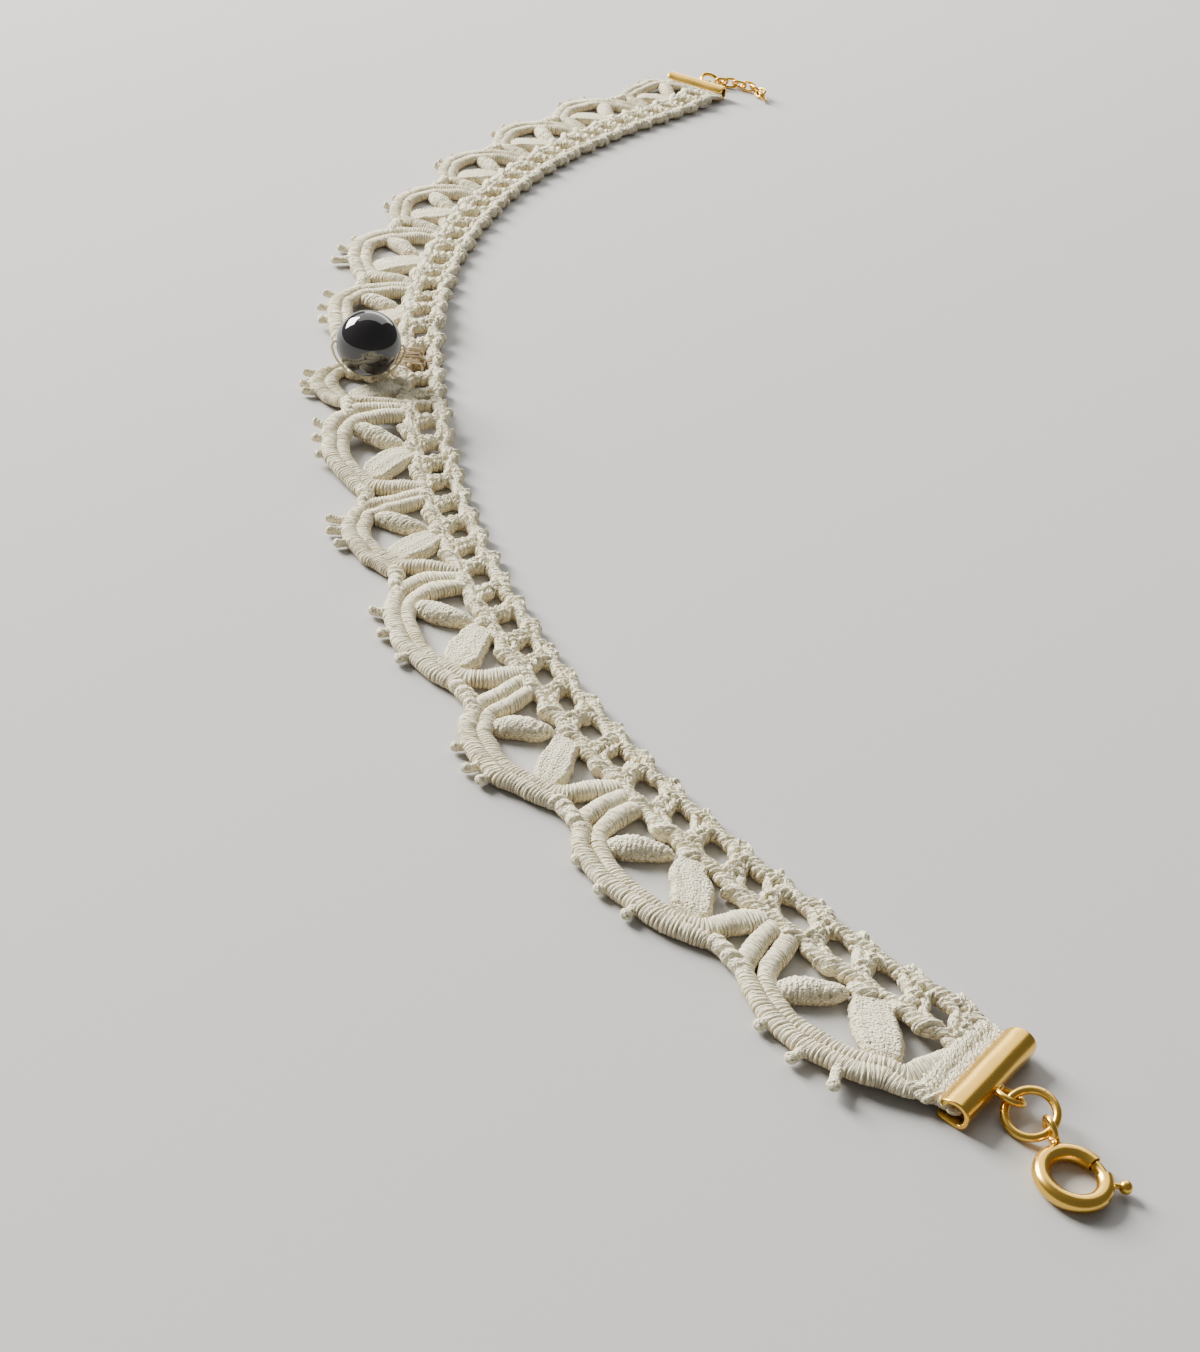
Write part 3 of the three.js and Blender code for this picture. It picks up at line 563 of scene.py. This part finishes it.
class Shape:
    # Gathers surfaces of one hard piece, in mm, and makes one mesh of them.
    def __init__(self):
        self.points, self.faces, self.count = [], [], 0

    def add(self, points, faces):
        self.points.append(np.reshape(points, (-1, 3)))
        self.faces.extend([[i + self.count for i in face] for face in faces])
        self.count += len(self.points[-1])

    def skin(self, points, closed=False):
        # Rings of points, each ring closed on itself.
        rings, sides = points.shape[:2]
        index = np.arange(rings * sides).reshape(rings, sides)
        along = np.vstack([index, index[:1]]) if closed else index
        beside = np.roll(along, -1, axis=1)
        quads = np.stack([along[:-1], beside[:-1], beside[1:], along[1:]], axis=-1).reshape(-1, 4)
        ends = [] if closed else [index[0][::-1].tolist(), index[-1].tolist()]
        self.add(points, quads.tolist() + ends)

    def wire(self, line, radius, sides=20, closed=False, rounded=False):
        line = np.asarray(line, float)
        radius = np.broadcast_to(radius, len(line)).astype(float)
        if rounded:
            turn = np.linspace(0, 90, 7)[:-1] * degree
            lead = (line[0] - line[1]) / np.linalg.norm(line[0] - line[1])
            tail = (line[-1] - line[-2]) / np.linalg.norm(line[-1] - line[-2])
            front = line[0] + lead * radius[0] * np.cos(turn)[:, None]
            back = line[-1] + tail * radius[-1] * np.cos(turn[::-1])[:, None]
            line = np.concatenate([front, line, back])
            radius = np.concatenate([radius[0] * np.sin(turn) + .001, radius,
                                     radius[-1] * np.sin(turn[::-1]) + .001])
        if closed:
            ahead = np.roll(line, -1, axis=0) - np.roll(line, 1, axis=0)
        else:
            ahead = np.gradient(line, axis=0)
        ahead /= np.linalg.norm(ahead, axis=1)[:, None]
        normal = np.cross(ahead[0], (.01, .02, 1))
        normal /= np.linalg.norm(normal)
        turn = np.arange(sides) / sides * 2 * math.pi
        rings = []
        for place, way, size in zip(line, ahead, radius):
            normal = normal - way * normal.dot(way)
            normal /= np.linalg.norm(normal)
            other = np.cross(way, normal)
            rings.append(place + size * (np.cos(turn)[:, None] * normal + np.sin(turn)[:, None] * other))
        self.skin(np.array(rings), closed)

    def blob(self, centre, size, sides=20):
        turn, rise = np.meshgrid(np.arange(sides) / sides * 2 * math.pi,
                                 np.linspace(-89, 89, sides) * degree)
        ball = np.stack([np.cos(rise) * np.cos(turn), np.cos(rise) * np.sin(turn), np.sin(rise)], axis=-1)
        self.skin(ball * np.array(size) + np.array(centre))

    def make(self, name, place, sharp=35):
        mesh = bpy.data.meshes.new(name)
        mesh.from_pydata((np.concatenate(self.points) * mm).tolist(), [], self.faces)
        mesh.transform(place)
        mesh.polygons.foreach_set("use_smooth", [True] * len(mesh.polygons))
        mesh.set_sharp_from_angle(angle=sharp * degree)
        mesh.update()
        piece = bpy.data.objects.new(name, mesh)
        bpy.context.collection.objects.link(piece)
        return piece


crimp = {"length": 11.2, "half": 1.4, "height": 2.4, "plate": .4, "lowRadius": .9, "highRadius": 1.2,
         "lipDrop": .65, "lipLength": 1.5, "offset": 1.25, "across": 3, "eyeRadius": 1.15,
         "eyeWire": .27, "eyeHeight": 1.2, "eyeOut": 2.38, "eyeTilt": -30, "hold": .1, "corner": .6}


# How far from the end of the fold, and how much thinner its wall is there.
crimpEnds = ((0, .11), (.02, .06), (.06, .02), (.12, 0), (.2, 0), (.3, 0), (.45, 0), (.65, 0))


def crimpOutline(thin):
    # The folded plate seen from its end: both faces of it, with round lips. thin is half its wall.
    c = crimp
    half, low, high = c["half"], c["lowRadius"], c["highRadius"]
    wall, top = c["plate"] / 2, c["height"]
    line = [(x, wall) for x in np.linspace(.22 - half, half - low, 6)]
    for turn in np.linspace(-80, 0, 9) * degree:
        line.append((half - low + (low - wall) * math.cos(turn), low + (low - wall) * math.sin(turn)))
    for turn in np.linspace(0, 90, 11) * degree:
        line.append((half - high + (high - wall) * math.cos(turn),
                     top - high + (high - wall) * math.sin(turn)))
    start = c["lipLength"] - half
    line += [(x, top - wall) for x in np.linspace(half - high, start, 5)[1:]]
    for part in np.linspace(0, 1, 9)[1:]:
        line.append((start + (.2 - half - start) * part, top - wall - c["lipDrop"] * part * part))
    line = np.array(line)
    way = np.gradient(line, axis=0)
    way /= np.linalg.norm(way, axis=1)[:, None]
    out = np.stack([way[:, 1], -way[:, 0]], axis=1) * thin
    caps = []
    for end, towards in ((-1, way[-1]), (0, -way[0])):
        turn = np.linspace(0, 180, 8)[1:-1, None] * degree
        side = out[end] if end else -out[end]
        caps.append(line[end] + np.cos(turn) * side + np.sin(turn) * towards * thin)
    return np.concatenate([line + out, caps[0], (line - out)[::-1], caps[1]])


def addCrimp(name, place, outward, eyeAcross):
    c = crimp
    x, y, heading = (float(v) for v in runAt(place))
    out = heading + (math.pi if outward < 0 else 0)
    cos, sin = math.cos(out), math.sin(out)
    centre = (x - c["across"] * math.sin(heading) + c["offset"] * cos,
              y + c["across"] * math.cos(heading) + c["offset"] * sin)
    shape = Shape()
    rings, wall = [], c["plate"] / 2
    for inset, thin in crimpEnds:
        ring = np.insert(crimpOutline(wall - thin), 1, c["length"] / 2 - inset, axis=1)
        # The corners of the lips are round.
        corner = max(c["corner"] - inset, 0)
        back = c["corner"] - math.sqrt(c["corner"] ** 2 - corner ** 2) - c["half"]
        ring[:, 0] = np.maximum(ring[:, 0], back + .25 * (ring[:, 0] + c["half"]) * (corner > 0))
        rings.append(ring)
    middle = []
    for y0 in np.linspace(c["length"] / 2 - .9, .9 - c["length"] / 2, 36):
        ring = np.insert(crimpOutline(wall), 1, y0, axis=1)
        ring[:, 2] += .02 * math.sin(y0 * 1.1) * np.clip(ring[:, 2] / 2.4, 0, 1)
        middle.append(ring)
    tail = [ring * (1, -1, 1) for ring in rings[::-1]]
    rings = np.array(rings + middle + tail)
    shape.skin(rings[::-1])
    eye = tilted(ringLine(c["eyeRadius"]), c["eyeTilt"], (c["eyeOut"], eyeAcross, c["eyeHeight"]))
    shape.wire(eye, c["eyeWire"], closed=True)
    shape.blob((c["half"] - .02, eyeAcross, c["eyeHeight"]), (.3, .62, .42))
    piece = shape.make(name, setDown((*centre, 0), out / degree))
    held = c["eyeOut"] + c["hold"]
    hold = (centre[0] + held * cos - eyeAcross * sin, centre[1] + held * sin + eyeAcross * cos)
    return piece, hold


jumpRing = {"radius": 2, "wire": .36, "lean": 25}


def addJumpRing(name, hold, turned):
    r = jumpRing
    cos, sin = math.cos(turned * degree), math.sin(turned * degree)
    level = r["radius"] * math.sin(r["lean"] * degree) + r["wire"]
    x, y = hold[0] + r["radius"] * cos, hold[1] + r["radius"] * sin
    shape = Shape()
    shape.wire(ringLine(r["radius"], 101, 358, 120, closed=False), r["wire"], 24)
    piece = shape.make(name, setDown((x, y, level), turned, 0, r["lean"]))
    return piece, (x + r["radius"] * cos, y + r["radius"] * sin, level)


clasp = {"radius": 2.45, "tube": .7, "bore": .57, "bolt": .44, "eyeRadius": 1, "eyeWire": .24,
         "eyeOut": 4.2, "eyeLift": .52, "eyeTilt": 75, "knob": -112, "knobOut": 3.95, "knobRadius": .55,
         "stem": .22, "mouthFrom": -99, "mouthTurn": 32, "travel": 34, "boltTail": 28, "heading": -70.5}


def claspTube(shape):
    # A hollow ring with its mouth open, and the slot that the knob runs in.
    c = clasp
    steps, sides = 360, 36
    around = (np.arange(steps) + .5) / steps * 360 - 180
    about = (np.arange(sides) + .5) / sides * 360 - 180
    mouth = (around > c["mouthFrom"]) & (around < c["mouthFrom"] + c["mouthTurn"])
    slot = (around > c["knob"] - c["travel"] - 5) & (around < c["knob"] + 5)
    gone = mouth[:, None] | (slot[:, None] & (np.abs(about) < 30)[None, :])
    turn = (np.arange(steps) / steps * 360 - 180) * degree
    side = (np.arange(sides) / sides * 360 - 180) * degree
    surfaces = []
    for radius in (c["tube"], c["bore"]):
        reach = c["radius"] + radius * np.cos(side)[None, :]
        surfaces.append(np.stack([reach * np.cos(turn)[:, None], reach * np.sin(turn)[:, None],
                                  np.broadcast_to(radius * np.sin(side), (steps, sides))], axis=-1))
    index = np.arange(steps * sides).reshape(steps, sides)
    ahead, beside = np.roll(index, -1, 0), np.roll(index, -1, 1)
    corner = np.roll(ahead, -1, 1)
    kept = ~gone
    faces = np.stack([index, ahead, corner, beside], axis=-1)[kept].tolist()
    faces += (np.stack([index, beside, corner, ahead], axis=-1)[kept] + steps * sides).tolist()
    depth = steps * sides
    for shift, axis, first, second in ((-1, 0, ahead, corner), (1, 0, beside, index),
                                       (-1, 1, corner, beside), (1, 1, index, ahead)):
        edge = kept & np.roll(gone, shift, axis)
        for a, b in zip(first[edge], second[edge]):
            faces.append([b, a, a + depth, b + depth])
    shape.add(np.concatenate([s.reshape(-1, 3) for s in surfaces]), faces)


def addClasp(hold):
    c = clasp
    cos, sin = math.cos(c["heading"] * degree), math.sin(c["heading"] * degree)
    place = setDown((hold[0] + c["eyeOut"] * cos, hold[1] + c["eyeOut"] * sin, c["tube"]),
                    c["heading"] + 180)
    ring = Shape()
    claspTube(ring)
    ring.wire(tilted(ringLine(c["eyeRadius"]), c["eyeTilt"], (c["eyeOut"], 0, c["eyeLift"])),
              c["eyeWire"], closed=True)
    ring.blob((3.14, 0, .22), (.3, .42, .34))
    slider = Shape()
    start = c["knob"] - c["boltTail"]
    turn = c["mouthFrom"] + c["mouthTurn"] * 1.2 - start
    slider.wire(ringLine(c["radius"], start, turn, 60, closed=False), c["bolt"], rounded=True)
    out = np.array([math.cos(c["knob"] * degree), math.sin(c["knob"] * degree), 0])
    stem = np.linspace(c["radius"] + .2, c["knobOut"], 8)
    slider.wire(stem[:, None] * out, c["stem"] * np.array([1.3, 1, 1, 1, 1, 1.15, 1.4, 1.4]))
    slider.blob(out * c["knobOut"], [c["knobRadius"]] * 3, 28)
    return ring.make("clasp_ring_tube", place), slider.make("clasp_bolt", place)


chainLink = {"straight": .8, "endRadius": .85, "wire": .25, "slack": .2, "clear": .06}
# Heading and lean of each link of the chain, in degrees.
chainRows = [(28, -55), (8, 42), (-10, -45), (-29, 45), (-48, -45), (-67, 45), (-84, -45)]


def linkLine():
    side, radius = chainLink["straight"] / 2, chainLink["endRadius"]
    ends = []
    for middle, start in ((side, -90), (-side, 90)):
        turn = (start + np.linspace(0, 180, 22)) * degree
        ends.append(np.stack([middle + radius * np.cos(turn), radius * np.sin(turn), 0 * turn], axis=1))
    return np.concatenate(ends)


def addChain(hook, lastHeading):
    k = chainLink
    pieces, hookWire = [], jumpRing["wire"]
    reach = k["straight"] / 2 + k["endRadius"]
    for turned, lean in chainRows:
        middle = (turned + lastHeading) / 2 * degree
        overlap = hookWire + k["wire"] + k["slack"]
        level = k["endRadius"] * math.sin(abs(lean) * degree) + k["wire"] + k["clear"]
        pitch = math.asin((level - hook[2]) / reach)
        run = reach * math.cos(pitch)
        cos, sin = math.cos(turned * degree), math.sin(turned * degree)
        x = hook[0] - overlap * math.cos(middle) + run * cos
        y = hook[1] - overlap * math.sin(middle) + run * sin
        shape = Shape()
        shape.wire(linkLine(), k["wire"], 16, closed=True)
        pieces.append(shape.make(f"link_wire_{len(pieces) + 1}",
                                 setDown((x, y, level), turned, pitch / degree, lean)))
        hook = (x + run * cos, y + run * sin, 2 * level - hook[2])
        hookWire, lastHeading = k["wire"], turned
    return pieces


# Side of the bead's centre, and height.
threadRows = [(-2.3, .9), (-2.8, 1.95), (-3.5, 2.75), (-4.05, 3.6), (-4.36, 4.4), (-4.48, 5.1), (-4.25, 5.55),
              (-3.85, 5.62), (-1.5, 5.62), (1.5, 5.62), (3.85, 5.62), (4.25, 5.55), (4.48, 5.1), (4.36, 4.4),
              (4.05, 3.6), (3.5, 2.75), (2.8, 1.95), (2.3, .9)]


def addBead():
    b = bead
    heading = float(runAt(b["at"])[2])
    place = np.array([beadMiddle[0], beadMiddle[1], b["height"]])
    first = math.asin((b["bore"] + .1) / b["radius"])
    turn = np.linspace(first, math.pi - first, 60)
    profile = [(b["radius"] * math.sin(t), -b["radius"] * math.cos(t)) for t in turn]
    rim = b["radius"] * math.cos(first)
    profile = [(b["bore"], .12 - rim), (b["bore"] + .03, .03 - rim)] + profile
    profile += [(b["bore"] + .03, rim - .03), (b["bore"], rim - .12)]
    about = np.arange(96) / 96 * 2 * math.pi
    rings = np.array([np.stack([r * np.cos(about), np.full(96, h), r * np.sin(about)], axis=1)
                      for r, h in profile])
    shape = Shape()
    shape.skin(rings[::-1], closed=True)
    ball = shape.make("bead_ball", setDown(place, heading / degree), 60)
    way, line = smoothPath([(s, z, 0, 0) for s, z in threadRows], .1)
    across = np.array([-math.sin(heading), math.cos(heading), 0])
    line = place * (1, 1, 0) + line[:, :1] * across + line[:, 1:2] * np.array([0, 0, 1])
    ahead = np.gradient(line, axis=0)
    ahead /= np.linalg.norm(ahead, axis=1)[:, None]
    flat = np.cross(ahead, np.cross(across, (0, 0, 1)))
    level = np.cross(ahead, flat)
    twine = Shape()
    for ply in range(3):
        turn = way / 1.3 * 2 * math.pi + ply * 2 * math.pi / 3
        ring = .085 * (np.cos(turn)[:, None] * flat + np.sin(turn)[:, None] * level)
        twine.wire(line + ring, .085, 8, rounded=True)
    # Stitches that fix the thread to the eyelet line, each over the lace and down again.
    for k in range(11):
        u = 6.78 + .023 * k + rng.normal(0, .008)
        lean = rng.normal(0, .05)
        rows = [(2.9, .9), (2.6, 1.7), (1.8, 1.95), (.9, 1.9), (.1, 1.8), (-.4, 1.3), (-.5, .8)]
        w = np.array([row[0] for row in rows]) + rng.normal(0, .12, len(rows))
        z = np.array([row[1] for row in rows])
        along = (u + lean * np.arange(len(rows)) / len(rows)) * laceRun["pitch"]
        loop = layLace(along, w, z) / mm
        fine = np.linspace(0, len(rows) - 1, 40)
        loop = np.stack([np.interp(fine, np.arange(len(rows)), column) for column in loop.T], axis=1)
        twine.wire(loop, .1, 8, rounded=True)
    return ball, twine.make("bead_twine", Matrix())


pieces = {}
for name, place, outward, eyeAcross in (("crimp_near", 0, -1, -.65), ("crimp_far", scallopCount, 1, -.3)):
    pieces[name], hold = addCrimp(name + "_fold", place, outward, eyeAcross)
    if outward < 0:
        pieces["jump_ring_near"], hook = addJumpRing("jump_ring_near_wire", hold, -46)
        pieces["clasp_ring"], pieces["clasp_slider"] = addClasp(hook)
    else:
        pieces["jump_ring_far"], hook = addJumpRing("jump_ring_far_wire", hold, 47)
        for number, piece in enumerate(addChain(hook, 47)):
            pieces[f"chain_link_{number + 1}"] = piece
pieces["bead"], pieces["bead_thread"] = addBead()
ridesOn = {"crimp_near": "band", "crimp_far": "band", "bead_thread": "band", "bead": "bead",
           "jump_ring_near": "near_ring", "jump_ring_far": "far_ring", "clasp_ring": "clasp",
           "clasp_slider": "slider"}
for number in range(7):
    ridesOn[f"chain_link_{number + 1}"] = f"link_{number + 1}"
print("metal and bead made")


# ---- finishes ----
def besideBead(paint):
    # How far a place is from the stitches that fix the bead, in metres.
    x, y, z = (float(v) for v in layPlace(*bead["sewn"]))
    return paint.node("ShaderNodeVectorMath", {"operation": "DISTANCE"}, {0: paint.place(), 1: (x, y, z)},
                      out=1)


def lacePaint():
    paint = Paint("lace cotton", **{"Roughness": .78, "Sheen Weight": .15, "Sheen Roughness": .5,
                                    "Specular IOR Level": .3})
    shade = paint.node("ShaderNodeAttribute", {"attribute_name": "shade"}, {}, out=2)
    stitch = paint.node("ShaderNodeAttribute", {"attribute_name": "stitch"}, {}, out=1)
    grain = paint.node("ShaderNodeTexVoronoi", {}, {"Vector": stitch, "Scale": 1.0, "Randomness": .9})
    threads = paint.noise(1.6, 2, .5, stitch)
    patches = paint.noise(160, 2)
    # Painted shade: the shade attribute and the gaps between stitches darken the colour, and two noises add
    # random tone. The ramp runs from lit cream to shaded brown.
    gaps = grain * grain
    paintedShadeAndTone = shade * 1.05 + gaps * .55 + (patches - .5) * .35 + (threads - .5) * .3 - .17
    colour = paint.ramp(paintedShadeAndTone, [(0, (.95, .88, .64)), (.3, (.86, .765, .53)), (.62, (.56, .435, .255)),
                               (1, (.2, .13, .06))])
    # Round the stitches that fix the bead the lace is tinted tan, and its darker browns there are the same
    # painted shade.
    tan = paint.ramp(besideBead(paint) * 200 + (patches - .5) * .8, [(.35, (1, 1, 1)), (.75, (0, 0, 0))])
    paint.feed("Base Color", paint.blend(tan, colour, paint.ramp(paintedShadeAndTone, [
        (0, (.5, .38, .21)), (.5, (.3, .2, .1)), (1, (.1, .06, .03))])))
    paint.feed("Normal", paint.bump(threads * .5 - gaps, .00019, 1.0))
    return paint.material


def goldPaint(name, tone, roughness):
    paint = Paint(name, Metallic=1.0)
    wear = paint.noise(420, 3)
    fine = paint.noise(1, 2, .5, paint.node("ShaderNodeVectorMath", {"operation": "MULTIPLY"},
                                            {0: paint.place(), 1: (3000, 3000, 9000)}))
    paint.feed("Base Color", paint.blend(wear, (*tone, 1), (tone[0] * .93, tone[1] * .88, tone[2] * .78, 1)))
    paint.feed("Roughness", wear * .08 + fine * .04 + roughness)
    paint.feed("Normal", paint.bump(wear, .000006, .3))
    return paint.material


def hematitePaint():
    paint = Paint("hematite", **{"IOR": 1.7, "Base Color": (.012, .011, .012, 1)})
    cloud = paint.noise(420, 4)
    paint.feed("Roughness", cloud * .05 + .02)
    paint.feed("Base Color", paint.blend(cloud, (.008, .0075, .008, 1), (.022, .019, .02, 1)))
    return paint.material


def twinePaint():
    paint = Paint("bead twine", **{"Roughness": .75, "Sheen Weight": .2})
    strands = paint.noise(6000, 2)
    tan = paint.ramp(besideBead(paint) * 200, [(.45, (1, 1, 1)), (.7, (0, 0, 0))])
    paint.feed("Base Color", paint.blend(tan, paint.blend(strands, (.86, .79, .58, 1), (.7, .6, .4, 1)),
                                         paint.blend(strands, (.66, .53, .34, 1), (.42, .3, .16, 1))))
    paint.feed("Normal", paint.bump(strands, .00005, .7))
    return paint.material


laceFinish = lacePaint()
finishes = {"gold": goldPaint("gold plate", (.88, .56, .11), .2), "hematite": hematitePaint(),
            "thread": twinePaint()}
for node, piece in pieces.items():
    slot = {"bead": "hematite", "bead_thread": "thread"}.get(node, "gold")
    piece.data.materials.append(finishes[slot])
    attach(piece, ridesOn[node])
    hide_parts(node)
for (ground, knotted), (name, first, last) in zip(lacePieces, lengths):
    for piece in (ground, knotted):
        piece.data.materials.append(laceFinish)
        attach(piece, "band")
        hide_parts("lace_band")


# ---- floor, light and camera ----
def addFloor():
    bpy.ops.mesh.primitive_plane_add(size=4, location=(0, 0, -.00002))
    floor = bpy.context.object
    floor.name = "floor"
    paint = Paint("pale floor", Roughness=.85)
    paint.shader.inputs["Base Color"].default_value = (.5, .495, .485, 1)
    floor.data.materials.append(paint.material)


def addLight(name, place, target, size, power, tint=(1, 1, 1)):
    data = bpy.data.lights.new(name, "AREA")
    data.shape = "RECTANGLE"
    data.size, data.size_y = size
    data.energy = power
    data.color = tint
    lamp = bpy.data.objects.new(name, data)
    lamp.location = place
    lamp.rotation_euler = (Vector(target) - Vector(place)).to_track_quat("-Z", "Y").to_euler()
    bpy.context.collection.objects.link(lamp)


def addCamera():
    view = {"place": (-.19, -226.74, 107.27), "tilt": 34.32, "roll": 8.65, "lens": 50.6}
    tilt, roll = view["tilt"] * degree, view["roll"] * degree
    ahead = Vector((0, math.cos(tilt), -math.sin(tilt)))
    right = Vector((1, 0, 0))
    up = right.cross(ahead)
    across = right * math.cos(roll) + up * math.sin(roll)
    rise = up * math.cos(roll) - right * math.sin(roll)
    data = bpy.data.cameras.new("camera")
    data.lens = view["lens"]
    data.clip_start, data.clip_end = .005, 10
    camera = bpy.data.objects.new("camera", data)
    camera.matrix_world = Matrix.Translation(Vector(view["place"]) * mm) @ Matrix(
        (across, rise, -ahead)).transposed().to_4x4()
    bpy.context.collection.objects.link(camera)
    bpy.context.scene.camera = camera


addFloor()
addLight("window", (-.92, .6, .6), (-.01, 0, 0), (.62, .58), 62, (1, .98, .94))
addLight("sky", (-.12, .95, .95), (0, 0, 0), (1.7, 1.1), 12, (1, .97, .92))
addLight("low card", (.1, 1.35, .42), (0, .1, 0), (1.1, .4), 7, (1, .98, .94))  # lights the far ribbon end
world = bpy.data.worlds.new("studio")
bpy.context.scene.world = world
world.use_nodes = True
world.node_tree.nodes["Background"].inputs["Color"].default_value = (.85, .86, .88, 1)
world.node_tree.nodes["Background"].inputs["Strength"].default_value = .2
addCamera()
print("floor, light and camera set")
